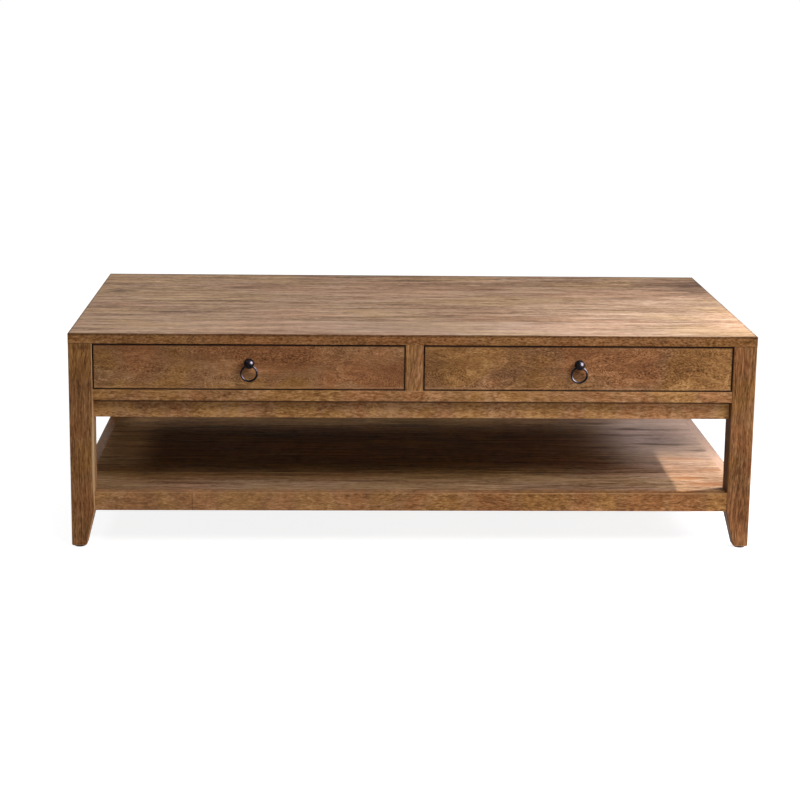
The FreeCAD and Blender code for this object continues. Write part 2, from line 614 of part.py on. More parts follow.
def drawer(side, left_edge):
    level_z = RAIL_TOP + " + drawer_running_gap"
    body = piece(f"drawer_{side}_front", left_edge, "drawer_rail_setback",
                 RAIL_TOP + " + drawer_bottom_gap")
    block(body, "board", ("0", "0", "0"),
          (DRAWER_WIDTH, "drawer_front_thickness", DRAWER_HEIGHT))
    ease(body, "arris", "drawer_front_arris",
         lambda start, end: level("y", "0", start, end))
    for end in ("left", "right"):
        for number, centre in tails(FRONT_RISE):
            sketch = outline(body, f"socket_shape_{end}_{number}", "YZ_Plane", [
                ("drawer_front_thickness + joint_end_gap",
                 f"{centre} - tail_root/2 - joint_clearance"),
                ("drawer_front_thickness - tail_length - joint_clearance",
                 f"{centre} - tail_tip/2 - joint_clearance"),
                ("drawer_front_thickness - tail_length - joint_clearance",
                 f"{centre} + tail_tip/2 + joint_clearance"),
                ("drawer_front_thickness + joint_end_gap",
                 f"{centre} + tail_root/2 + joint_clearance")])
            if end == "right":
                sketch.setExpression("AttachmentOffset.Base.z", bound(DRAWER_WIDTH))
            pocket(body, f"socket_{end}_{number}", sketch,
                   "drawer_side_thickness + joint_clearance", flip=end == "left")
    block(body, "bottom_groove",
          ("drawer_side_thickness - drawer_housing",
           "drawer_front_thickness - drawer_bottom_groove",
           f"drawer_bottom_rise - {FRONT_RISE}"),
          (f"{DRAWER_WIDTH} - 2*drawer_side_thickness + 2*drawer_housing", "drawer_bottom_groove",
           "drawer_bottom_thickness + joint_clearance"), cut=True)
    rod(body, "stud_hole", (f"{DRAWER_WIDTH}/2", "0", f"{DRAWER_HEIGHT}/2 + knob_rise"),
        "knob_stud_radius + joint_clearance", "drawer_front_thickness", axis="y", cut=True)

    back_start = "(drawer_side_length - drawer_back_inset - drawer_back_thickness)"
    bottom_top = "(drawer_bottom_rise + drawer_bottom_thickness)"
    for end in ("left", "right"):
        x = left_edge if end == "left" else f"{left_edge} + {DRAWER_WIDTH} - drawer_side_thickness"
        body = piece(f"drawer_{side}_{end}_side", x, DRAWER_BACK_OF_FRONT, level_z)
        corners = [("0", "0")]
        for number, centre in tails("0"):
            corners += [("0", f"{centre} - tail_root/2"),
                        ("-tail_length", f"{centre} - tail_tip/2"),
                        ("-tail_length", f"{centre} + tail_tip/2"),
                        ("0", f"{centre} + tail_root/2")]
        corners += [("0", "drawer_side_height"), ("drawer_side_length", "drawer_side_height"),
                    ("drawer_side_length", "0")]
        pad(body, "board", outline(body, "board_shape", "YZ_Plane", corners),
            "drawer_side_thickness")
        inner = "drawer_side_thickness - drawer_housing" if end == "left" else "0"
        block(body, "bottom_groove", (inner, "-tail_length", "drawer_bottom_rise"),
              ("drawer_housing", "drawer_side_length + tail_length",
               "drawer_bottom_thickness + joint_clearance"), cut=True)
        block(body, "back_housing", (inner, f"{back_start} - joint_clearance", bottom_top),
              ("drawer_housing", "drawer_back_thickness + 2*joint_clearance",
               f"drawer_side_height - {bottom_top}"), cut=True)

    inside = f"({DRAWER_WIDTH} - 2*drawer_side_thickness)"
    x = f"{left_edge} + drawer_side_thickness - drawer_housing + joint_clearance"
    housed = f"({inside} + 2*drawer_housing - 2*joint_clearance)"
    body = piece(f"drawer_{side}_back", x, f"{DRAWER_BACK_OF_FRONT} + {back_start}",
                 f"{level_z} + {bottom_top}")
    block(body, "board", ("0", "0", "0"),
          (housed, "drawer_back_thickness",
           f"drawer_side_height - {bottom_top} - drawer_back_drop"))

    lead = "(drawer_bottom_groove - joint_clearance)"
    body = piece(f"drawer_{side}_bottom", x, f"{DRAWER_BACK_OF_FRONT} - {lead}",
                 f"{level_z} + drawer_bottom_rise")
    block(body, "board", ("0", "0", "0"),
          (housed, f"drawer_side_length + {lead}", "drawer_bottom_thickness"))

    handle(side, f"{left_edge} + {DRAWER_WIDTH}/2")


# Ball knob on a neck and flange, bored for its ring, with a stud and nut
def handle(side, x):
    z = f"{RAIL_TOP} + drawer_bottom_gap + {DRAWER_HEIGHT}/2 + knob_rise"
    body = piece(f"knob_{side}", x, "drawer_rail_setback", z)
    ball = body.newObject("PartDesign::AdditiveSphere", "ball")
    ball.Placement = FreeCAD.Placement(FreeCAD.Vector(), POLES_ALONG_Y)
    ball.setExpression("Radius", bound("knob_radius"))
    place(ball, "0", "-knob_out", "0")
    rod(body, "neck", ("0", "-knob_out", "0"), "knob_neck_radius", "knob_out", axis="y")
    rod(body, "flange", ("0", "-knob_flange_thickness", "0"), "knob_flange_radius",
        "knob_flange_thickness", axis="y")
    rod(body, "stud", ("0", "0", "0"), "knob_stud_radius",
        "drawer_front_thickness + knob_stud_end", axis="y")
    rod(body, "ring_hole", ("-knob_radius", "-knob_out", "-ring_hole_drop"),
        "ring_wire_radius + ring_hole_clearance", "2*knob_radius", axis="x", cut=True)
    sketch = empty_sketch(body, "ring_passage_shape", "XZ_Plane")
    sketch.setExpression("AttachmentOffset.Base.y", bound("-ring_hole_drop"))
    sketch.setExpression("AttachmentOffset.Base.z", bound("knob_out"))
    ring_passage(sketch)
    doc.recompute()
    passage = body.newObject("PartDesign::Groove", "ring_passage")
    passage.Profile = sketch
    passage.ReferenceAxis = (sketch, ["H_Axis"])
    passage.Type = "TwoAngles"
    passage.Angle = SWING_INWARD + WIRE_TURN
    passage.Angle2 = SWING_OUTWARD + WIRE_TURN

    ring = doc.addObject("Part::Torus", f"ring_{side}")
    ring.Label = f"ring_{side}"
    ring.Placement = FreeCAD.Placement(FreeCAD.Vector(), TURNS["y"])
    ring.setExpression("Radius1", bound("ring_radius"))
    ring.setExpression("Radius2", bound("ring_wire_radius"))
    place(ring, x, f"{FRONT} + drawer_rail_setback - knob_out",
          f"{z} - ring_hole_drop - ring_radius")

    body = piece(f"knob_nut_{side}", x, DRAWER_BACK_OF_FRONT, z)
    rod(body, "flange", ("0", "0", "0"), "nut_flange_radius", "nut_flange_thickness", axis="y")
    prism(body, "hexagon", ("0", "0", "0"), "nut_radius",
          "nut_flange_thickness + nut_thickness", axis="y")
    rod(body, "thread", ("0", "0", "0"), "knob_stud_radius + joint_clearance",
        "nut_flange_thickness + nut_thickness", axis="y", cut=True)


# Half section of the flared passage: the bent wire's path, with its clearance
def ring_passage(sketch):
    reach = f"{PASSAGE_SHARE}*knob_radius"
    radius = "(ring_radius - ring_wire_radius - ring_clearance)"
    half = measure(reach)
    bend = measure(radius)
    fall = measure("ring_radius")
    depth = math.sqrt(bend ** 2 - half ** 2) - fall
    centre = FreeCAD.Vector(0, -fall, 0)
    slope = math.asin(half / bend)
    circle = Part.Circle(centre, FreeCAD.Vector(0, 0, 1), bend)
    arc = Part.ArcOfCircle(circle, math.pi / 2 - slope, math.pi / 2 + slope)
    ends = [FreeCAD.Vector(half, depth, 0), FreeCAD.Vector(half, 0, 0),
            FreeCAD.Vector(-half, 0, 0), FreeCAD.Vector(-half, depth, 0)]
    sketch.addGeometry(arc)
    for start, end in zip(ends, ends[1:]):
        sketch.addGeometry(Part.LineSegment(start, end))
    sketch.addConstraint(Sketcher.Constraint("Coincident", 0, 1, 1, 1))
    sketch.addConstraint(Sketcher.Constraint("Coincident", 1, 2, 2, 1))
    sketch.addConstraint(Sketcher.Constraint("Coincident", 2, 2, 3, 1))
    sketch.addConstraint(Sketcher.Constraint("Coincident", 3, 2, 0, 2))
    pin_point(sketch, 2, 1, reach, "0")
    pin_point(sketch, 2, 2, "-" + reach, "0")
    sketch.addConstraint(Sketcher.Constraint("Vertical", 1))
    sketch.addConstraint(Sketcher.Constraint("Vertical", 3))
    pin_point(sketch, 0, 3, "0", "-ring_radius")
    number = sketch.addConstraint(Sketcher.Constraint("Radius", 0, bend))
    sketch.setExpression(f"Constraints[{number}]", bound(radius))


for side, left_edge in DRAWER_LEFT_EDGES.items():
    drawer(side, left_edge)

doc.recompute()

# Check every object, then write each piece
for item in doc.Objects:
    if "Invalid" in item.State or "Error" in item.State:
        raise RuntimeError(f"{item.Label} did not build")
for item in doc.Objects:
    if item.TypeId not in ("PartDesign::Body", "Part::Torus"):
        continue
    shape = item.Shape
    if shape.isNull() or not shape.isValid() or shape.Volume <= 0:
        raise RuntimeError(f"{item.Label} has no sound shape")
    shape.exportStep(f"parts/{item.Label}.step")
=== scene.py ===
import math

import bpy
from mathutils import Matrix, Vector


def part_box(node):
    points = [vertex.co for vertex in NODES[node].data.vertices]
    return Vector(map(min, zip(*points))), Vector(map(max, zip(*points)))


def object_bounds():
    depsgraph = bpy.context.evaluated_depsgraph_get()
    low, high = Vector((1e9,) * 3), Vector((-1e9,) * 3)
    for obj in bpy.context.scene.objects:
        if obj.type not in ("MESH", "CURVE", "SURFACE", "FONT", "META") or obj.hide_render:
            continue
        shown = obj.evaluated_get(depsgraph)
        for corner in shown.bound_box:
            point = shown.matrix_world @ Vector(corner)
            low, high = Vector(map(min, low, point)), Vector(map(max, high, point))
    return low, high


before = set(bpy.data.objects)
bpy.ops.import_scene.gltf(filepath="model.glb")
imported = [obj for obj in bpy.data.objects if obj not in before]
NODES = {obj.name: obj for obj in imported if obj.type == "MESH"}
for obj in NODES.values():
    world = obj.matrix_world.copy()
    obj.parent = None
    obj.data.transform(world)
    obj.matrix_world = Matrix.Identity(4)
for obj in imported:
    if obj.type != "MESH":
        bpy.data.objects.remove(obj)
CAD_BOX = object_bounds()
TABLE_TOP = CAD_BOX[1][2]

SCENE = bpy.context.scene
SCENE.view_settings.view_transform = "Standard"
WHITE = (1, 1, 1)
LEFTWARD, RIGHTWARD = (-1, 0, 0), (1, 0, 0)
FRONTWARD, BACKWARD = (0, -1, 0), (0, 1, 0)
DOWNWARD, UPWARD = (0, 0, -1), (0, 0, 1)


def srgb(red, green, blue):
    """A colour given in 0 to 255 screen values, as a linear colour."""
    def linear(value):
        value /= 255
        return value / 12.92 if value <= 0.04045 else ((value + 0.055) / 1.055) ** 2.4
    return (linear(red), linear(green), linear(blue))


# Shader building
class Shader:
    """One material's node tree, with short calls for the nodes that it uses."""

    SURFACE_SOCKETS = {"colour": "Base Color", "roughness": "Roughness",
                       "metallic": "Metallic", "normal": "Normal",
                       "specular": "Specular IOR Level"}

    def __init__(self, name):
        self.material = bpy.data.materials.new(name)
        self.material.use_nodes = True
        self.tree = self.material.node_tree
        self.tree.nodes.clear()

    def node(self, kind, inputs=(), **settings):
        item = self.tree.nodes.new(kind)
        for name, value in settings.items():
            setattr(item, name, value)
        for socket, value in dict(inputs).items():
            self.put(item.inputs[socket], value)
        return item

    def put(self, socket, value):
        if isinstance(value, bpy.types.NodeSocket):
            self.tree.links.new(value, socket)
        elif isinstance(value, tuple) and socket.type == "RGBA":
            socket.default_value = (*value, 1)
        else:
            socket.default_value = value

    def place(self):
        """Where a point is, in metres from the world's origin at rest."""
        return self.node("ShaderNodeTexCoord").outputs["Object"]

    def normal(self):
        return self.node("ShaderNodeTexCoord").outputs["Normal"]

    def math(self, operation, first, second=0.0):
        return self.node("ShaderNodeMath", {0: first, 1: second}, operation=operation).outputs[0]

    def times(self, first, second):
        return self.math("MULTIPLY", first, second)

    def swing(self, noise, weight):
        """A noise, which is 0.5 on average, as a swing to both sides of 0."""
        return self.times(self.math("SUBTRACT", noise, 0.5), weight)

    def vector_math(self, operation, first, second=(0, 0, 0)):
        item = self.node("ShaderNodeVectorMath", {0: first, 1: second}, operation=operation)
        gives_number = operation in ("DOT_PRODUCT", "LENGTH")
        return item.outputs["Value" if gives_number else "Vector"]

    def mix(self, factor, first, second, blend="MIX"):
        item = self.node("ShaderNodeMix", {0: factor, 6: first, 7: second},
                         data_type="RGBA", blend_type=blend)
        return item.outputs[2]

    def span(self, value, low, high, out_low=0.0, out_high=1.0, clamp=True):
        item = self.node("ShaderNodeMapRange", {
            "Value": value, "From Min": low, "From Max": high,
            "To Min": out_low, "To Max": out_high}, clamp=clamp)
        return item.outputs[0]

    def ramp(self, value, stops):
        item = self.node("ShaderNodeValToRGB", {"Fac": value})
        points = item.color_ramp.elements
        while len(points) < len(stops):
            points.new(0.5)
        for point, (place, colour) in zip(points, stops):
            point.position = place
            point.color = (*colour, 1)
        return item.outputs[0]

    def noise(self, vector, scale=1.0, detail=2.0, roughness=0.5, distortion=0.0):
        item = self.node("ShaderNodeTexNoise", {
            "Vector": vector, "Scale": scale, "Detail": detail,
            "Roughness": roughness, "Distortion": distortion})
        return item.outputs[0]

    def grain_noise(self, vector, repeats, **settings):
        """A noise drawn out along x, by its repeats per metre along x and across it."""
        along, across = repeats[:2]
        stretched = self.node("ShaderNodeMapping", {
            "Vector": vector, "Scale": (along, across, across)}).outputs[0]
        return self.noise(stretched, **settings)

    def bump(self, height, distance, strength):
        return self.node("ShaderNodeBump", {
            "Height": height, "Distance": distance, "Strength": strength}).outputs[0]

    def surface(self, **sockets):
        item = self.node("ShaderNodeBsdfPrincipled", {
            self.SURFACE_SOCKETS[name]: value for name, value in sockets.items()})
        self.node("ShaderNodeOutputMaterial", {"Surface": item.outputs[0]})
        return self.material


# Wood colours, from the darkest to the lightest of each stain
STAIN_PLACES = (0.0, 0.3, 0.52, 0.74, 1.0)
STAINS = {
    # The top stain, on the upward faces of the top and shelf boards, is paler and greyer than the
    # frame stain: partly a painted sheen.
    "top": (srgb(80, 56, 40), srgb(124, 94, 71), srgb(155, 124, 99), srgb(176, 144, 118),
            srgb(200, 168, 141)),
    "frame": (srgb(54, 30, 14), srgb(95, 61, 34), srgb(131, 90, 55), srgb(157, 113, 74),
              srgb(188, 143, 101)),
    "drawer": (srgb(54, 31, 17), srgb(97, 63, 38), srgb(135, 94, 61), srgb(160, 117, 80),
               srgb(188, 146, 107)),
    "inside": (srgb(128, 96, 62), srgb(160, 126, 88), srgb(181, 148, 108), srgb(196, 165, 124),
               srgb(212, 184, 146)),
}
MIDDLE_STAIN = STAIN_PLACES[2]
LIGHT_FRAME, LIGHT_DRAWER = STAINS["frame"][-1], STAINS["drawer"][-1]
# The second colour here is a painted gap shadow.
BURNT, GAP_SHADOW = srgb(52, 32, 24), srgb(12, 8, 5)
# The last two colours here are painted light, laid on wood that the lamps leave darker.
TAN, PAINTED_LIGHT_TAN, PAINTED_LIGHT = srgb(150, 92, 52), srgb(205, 172, 130), srgb(190, 164, 148)
# Tints that the colour under them is multiplied by
OCHRE, REDDISH = (1.03, 1.0, 0.76), (1.0, 0.87, 0.79)
SHADED, INNER_SHADE = (0.64, 0.56, 0.34), (0.3, 0.24, 0.18)


class Look:
    """How a wood is figured and finished. Streaks, flecks and lines are repeats per metre,
    along the grain and across it, each with the strength that they are drawn at."""

    def __init__(self, stain, edge_stain=None, streaks=(9, 70, 0.9), flecks=(120, 280, 1.3),
                 lines=(10, 240, 0.0), wander=0.08, bands=0.4, clouds=0.4, figure=0.25,
                 wisps=0.0, hues=3, tinting=0.8, specular=0.1, roughness=0.58):
        self.stain = stain
        self.edge_stain = edge_stain
        self.streaks = streaks
        self.flecks = flecks
        self.lines = lines
        self.wander = wander
        self.bands = bands
        self.clouds = clouds
        self.figure = figure
        self.wisps = wisps
        self.hues = hues
        self.tinting = tinting
        self.specular = specular
        self.roughness = roughness


LOOKS = {
    "top": Look("top", edge_stain="frame", streaks=(5, 48, 1.2), flecks=(65, 215, 0.95),
                lines=(9, 240, 1.3), wander=0.05, tinting=0.5, specular=0.03, roughness=0.66),
    "shelf": Look("top", streaks=(5, 48, 1.3), flecks=(60, 200, 0.9), lines=(9, 230, 1.2),
                  wander=0.05, tinting=0.55, specular=0.02, roughness=0.75),
    "leg": Look("frame", streaks=(7, 165, 0.7), flecks=(64, 410, 1.05), lines=(14, 420, 1.0),
                wander=0.05, bands=0.3, clouds=0.45, figure=0.35, hues=9),
    "rail": Look("frame", streaks=(16, 110, 0.7), flecks=(90, 340, 1.5), wander=0.14,
                 wisps=0.15, bands=0.3, figure=0.8, hues=13),
    "panel": Look("frame", streaks=(8, 85, 0.9), flecks=(75, 270, 0.85), lines=(12, 260, 0.6),
                  wander=0.1, wisps=0.08, figure=0.35, hues=5, tinting=0.65),
    "drawer": Look("drawer", streaks=(20, 90, 0.4), flecks=(190, 430, 1.5), wander=0.5,
                   wisps=0.3, bands=0.3, clouds=0.55, figure=0.45, hues=6, tinting=1.0),
    "bold_drawer": Look("drawer", streaks=(20, 95, 0.4), flecks=(170, 430, 1.65), wander=0.45,
                        wisps=0.28, bands=0.2, clouds=0.35, figure=0.35, hues=6, tinting=1.0),
    "inside": Look("inside", streaks=(7, 70, 0.9), flecks=(60, 300, 0.8), wander=0.06,
                   bands=0.8, figure=0.0, roughness=0.62),
}

# Per grain axis: the turn that lays it along x, and its direction
GRAIN_TURNS = {"x": (0, 0, 0), "y": (0, 0, -math.pi / 2), "z": (0, math.pi / 2, 0)}
GRAIN_WAYS = {"x": RIGHTWARD, "y": BACKWARD, "z": UPWARD}
SEED_STEPS = (3.7, 1.9, 2.3)
SWAY_REPEATS, BAND_REPEATS, PORE_REPEATS = (2.6, 8), (1.0, 11), (60, 900)
CLOUD_REPEATS, RIPPLE_REPEATS, WISP_REPEATS, HUE_REPEATS_ACROSS = (5, 13), (27, 6), (13, 34), 8
EDGE_FLECKS, EDGE_FLECK_WEIGHT = (150, 320), 1.2
EDGE_STAIN_RANGE = (0.31, 0.67)
WORN_AND_HIGHLIT_COVER, PORE_COVER, END_GRAIN_COVER = 0.4, 0.55, 0.4
WISP_WIDTH = 0.05
GLOSS_SWING = 0.24
GRAIN_DEPTH, GRAIN_STRENGTH, FLECK_HEIGHT = 0.0003, 0.6, 0.7
HUE_STOPS = ((0.42, OCHRE), (0.5, WHITE), (0.58, REDDISH))
# From where to where something sets in, by a noise or by how squarely the surface faces
FIGURED, PORED, PORED_STREAK = (0.42, 0.6), (0.56, 0.68), (0.6, 0.4)
FACING_UP, END_ON, ROUNDED = (0.55, 0.85), (0.75, 0.9), (0.97, 0.85)


def grain_fields(shader, place, grain, seed, look):
    """The noises that a wood is drawn from, laid along its grain."""
    turned = shader.node("ShaderNodeMapping", {
        "Vector": place, "Rotation": GRAIN_TURNS[grain],
        "Location": tuple(step * seed for step in SEED_STEPS)}).outputs[0]
    sway = shader.swing(shader.grain_noise(turned, SWAY_REPEATS), look.wander)
    bend = shader.node("ShaderNodeCombineXYZ", {"Y": sway, "Z": sway}).outputs[0]
    bent = shader.vector_math("ADD", turned, bend)
    noise = shader.grain_noise
    return {
        "bands": noise(bent, BAND_REPEATS, detail=3.0, roughness=0.55),
        "streak": noise(bent, look.streaks, detail=4.0, roughness=0.66),
        "fleck": noise(bent, look.flecks, roughness=0.7),
        "line": noise(bent, look.lines, detail=3.0, roughness=0.6),
        "pore": noise(bent, PORE_REPEATS, roughness=0.7),
        "cloud": noise(turned, CLOUD_REPEATS, detail=4.0, roughness=0.6),
        "ripple": noise(turned, RIPPLE_REPEATS, distortion=0.7),
        "wisp": noise(turned, WISP_REPEATS, detail=3.0, roughness=0.6, distortion=0.8),
        "hue": noise(turned, (look.hues, HUE_REPEATS_ACROSS)),
    }


def stain_value(shader, fields, look, tone):
    """How light the wood is at a point, as a place on its stain's ramp."""
    value = MIDDLE_STAIN + tone
    for field, weight in (("bands", look.bands), ("streak", look.streaks[2]),
                          ("fleck", look.flecks[2]), ("line", look.lines[2]),
                          ("cloud", look.clouds)):
        value = shader.math("ADD", shader.swing(fields[field], weight), value)
    figured = shader.span(fields["cloud"], *FIGURED)
    if look.figure:
        ripple = shader.swing(fields["ripple"], look.figure)
        value = shader.math("ADD", value, shader.times(ripple, figured))
    if look.wisps:
        contour = shader.math("ABSOLUTE", shader.math("SUBTRACT", fields["wisp"], 0.5))
        wisp = shader.times(shader.span(contour, WISP_WIDTH, 0.0), look.wisps)
        value = shader.math("ADD", value, shader.times(wisp, figured))
    return value


def facing(shader, direction):
    """How far the surface faces along a direction, from -1 to 1."""
    return shader.vector_math("DOT_PRODUCT", shader.normal(), direction)


def arris(shader):
    """1 on the rounded edges and 0 on the flats, which face one axis squarely."""
    sizes = shader.vector_math("ABSOLUTE", shader.normal())
    parts = shader.node("ShaderNodeSeparateXYZ", {0: sizes}).outputs
    most = shader.math("MAXIMUM", shader.math("MAXIMUM", parts[0], parts[1]), parts[2])
    return shader.span(most, *ROUNDED)


def stained(shader, value, stain):
    return shader.ramp(value, list(zip(STAIN_PLACES, STAINS[stain])))


def wood(name, look, grain, seed, tone, marks):
    """Stained wood with its grain along one axis; seed shifts the tree it was cut from."""
    shader = Shader(name)
    place = shader.place()
    fields = grain_fields(shader, place, grain, seed, look)
    value = stain_value(shader, fields, look, tone)
    colour = stained(shader, value, look.stain)
    # Upward faces keep the paler top stain, partly a painted sheen; the other faces take the edge
    # stain.
    if look.edge_stain:
        fine = shader.grain_noise(place, EDGE_FLECKS, roughness=0.7)
        edge = shader.math("ADD", shader.span(value, 0, 1, *EDGE_STAIN_RANGE, clamp=False),
                           shader.swing(fine, EDGE_FLECK_WEIGHT))
        flat = shader.span(facing(shader, UPWARD), *FACING_UP)
        colour = shader.mix(flat, stained(shader, edge, look.edge_stain), colour)
    else:
        # Rounded edges lighten towards the lightest stain: partly wear, partly a painted
        # highlight.
        worn_and_highlit = shader.times(arris(shader), WORN_AND_HIGHLIT_COVER)
        colour = shader.mix(worn_and_highlit, colour, STAINS[look.stain][-1])
    tint = shader.ramp(fields["hue"], HUE_STOPS)
    colour = shader.mix(look.tinting, colour, tint, "MULTIPLY")

    pores = shader.times(shader.span(fields["pore"], *PORED),
                         shader.span(fields["streak"], *PORED_STREAK))
    colour = shader.mix(shader.times(pores, PORE_COVER), colour, BURNT)
    along_grain = shader.math("ABSOLUTE", facing(shader, GRAIN_WAYS[grain]))
    end_grain = shader.span(along_grain, *END_ON)
    colour = shader.mix(shader.times(end_grain, END_GRAIN_COVER), colour, BURNT)
    for mark in marks:
        colour = mark(shader, place, colour)

    height = shader.math("SUBTRACT", shader.times(fields["fleck"], FLECK_HEIGHT), pores)
    roughness = shader.math("ADD", look.roughness - GLOSS_SWING / 2,
                            shader.times(fields["streak"], GLOSS_SWING))
    return shader.surface(colour=colour, roughness=roughness, specular=look.specular,
                          normal=shader.bump(height, GRAIN_DEPTH, GRAIN_STRENGTH))


# Marks on the wood. Each is a function that lays a colour over the colour so far.
FACING_SIDE = (0.5, 0.7)
RAGGED_REPEATS, RAGGEDNESS, RAGGED_EDGE = (16, 70), 2.4, (2.2, 0.9)
BROKEN_REPEATS, WHOLE_FROM, WHOLE_AT = (5, 40), 0.6, 0.62
# The share of a line's or a patch's reach that it covers in full
LINE_CORE, PATCH_CORE = 0.4, 0.5
GAP_SHADE_COVER = 0.9


def shares_of(name, *shares):
    """A point in a node's box, by its shares of the box's sides."""
    low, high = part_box(name)
    return tuple(a + (b - a) * share for a, b, share in zip(low, high, shares))


def reach_distance(shader, place, centre, reach):
    """A point's distance from a centre, as a share of the reach along each axis."""
    away = shader.vector_math("SUBTRACT", place, centre)
    return shader.vector_math("LENGTH", shader.vector_math("DIVIDE", away, reach))


def only_on(shader, cover, side):
    """A cover, kept to the surface that faces one way if a side is given."""
    if not side:
        return cover
    return shader.times(cover, shader.span(facing(shader, side), *FACING_SIDE))


def blot(centre, reach, strength, colour=BURNT):
    """A ragged streaky blot round a point, as of a knot or a burnt patch."""
    def mark(shader, place, base):
        ragged = shader.grain_noise(place, RAGGED_REPEATS, detail=4.0, roughness=0.65)
        edge = shader.math("ADD", reach_distance(shader, place, centre, reach),
                           shader.times(ragged, RAGGEDNESS))
        cover = shader.times(shader.span(edge, *RAGGED_EDGE), strength)
        return shader.mix(cover, base, colour)
    return mark


def blots(name, *rows):
    """Blots on one node, by the shares of their centres, their reaches and strengths."""
    return [blot(shares_of(name, *shares), reach, strength) for shares, reach, strength in rows]


def hairline(point, across, width, strength, patchy=0.0, side=None, colour=BURNT):
    """A hairline where a plane meets the surface, broken up where patchy is set."""
    def mark(shader, place, base):
        away = shader.vector_math("SUBTRACT", place, point)
        distance = shader.math("ABSOLUTE", shader.vector_math("DOT_PRODUCT", away, across))
        cover = shader.times(shader.span(distance, width, width * LINE_CORE), strength)
        if patchy:
            whole = shader.grain_noise(place, BROKEN_REPEATS, detail=3.0)
            cover = shader.times(cover, shader.span(whole, WHOLE_FROM - patchy, WHOLE_AT))
        return shader.mix(only_on(shader, cover, side), base, colour)
    return mark


def patch(centre, reach, strength, colour, blend="MIX", side=None):
    """A broad soft patch of another colour; most patches here are painted light or painted shade.
    """
    def mark(shader, place, base):
        distance = reach_distance(shader, place, centre, reach)
        cover = shader.times(shader.span(distance, 1.0, PATCH_CORE), strength)
        return shader.mix(only_on(shader, cover, side), base, colour, blend)
    return mark


def shade(centre, reach, strength, tint=SHADED, side=None):
    return patch(centre, reach, strength, tint, "MULTIPLY", side)


def painted_gap_shade(direction, above=0.0, turn=(0.86, 0.96)):
    """Painted shade as in a narrow gap: darker colour on the side that faces a direction, above a
    height.
    """
    def mark(shader, place, base):
        height = shader.node("ShaderNodeSeparateXYZ", {0: place}).outputs["Z"]
        cover = shader.times(shader.span(facing(shader, direction), *turn),
                             shader.math("GREATER_THAN", height, above))
        return shader.mix(shader.times(cover, GAP_SHADE_COVER), base, BURNT)
    return mark


def board_lines(name, strength):
    """Dark glue lines along a board's two long edges."""
    return [hairline(shares_of(name, 0, share, 1), BACKWARD, 0.0026, strength, patchy=0.25,
                     side=UPWARD) for share in (0, 1)]


def drawer_marks(name, *rows):
    """Blots, a line of wear and painted highlight, then a painted gap-shadow rim and painted gap
    shade on the sides all round a drawer front.
    """
    # A pale line just above the front's bottom edge: partly wear, partly a painted highlight.
    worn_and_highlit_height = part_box(name)[0][2] + 0.0042
    worn_and_highlit = hairline((0, 0, worn_and_highlit_height), UPWARD, 0.002, 0.35, patchy=0.3, side=FRONTWARD,
                    colour=LIGHT_DRAWER)
    # A painted gap shadow round the front's edges, then painted gap shade on its sides.
    gap_shadow_rims = [hairline(shares_of(name, *shares), across, width, 0.95, side=FRONTWARD, colour=GAP_SHADOW)
            for shares, across, width in (
                ((0, 0, 1), UPWARD, 0.0026), ((0, 0, 0), UPWARD, 0.0022),
                ((0, 0, 0), RIGHTWARD, 0.0022), ((1, 0, 0), RIGHTWARD, 0.0022))]
    sides = [painted_gap_shade(way, turn=(0.15, 0.45))
             for way in (UPWARD, DOWNWARD, LEFTWARD, RIGHTWARD)]
    return [*blots(name, *rows), worn_and_highlit, *gap_shadow_rims, *sides]


def under_top_line(name):
    """The dark line on a front leg right under the top."""
    return hairline(shares_of(name, 0, 0, 1), UPWARD, 0.0018, 0.6, side=FRONTWARD)


SHELF_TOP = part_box("shelf_front_rail")[1][2]
RAIL_BOTTOM, OPENING_BOTTOM = (corner[2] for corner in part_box("front_drawer_rail"))
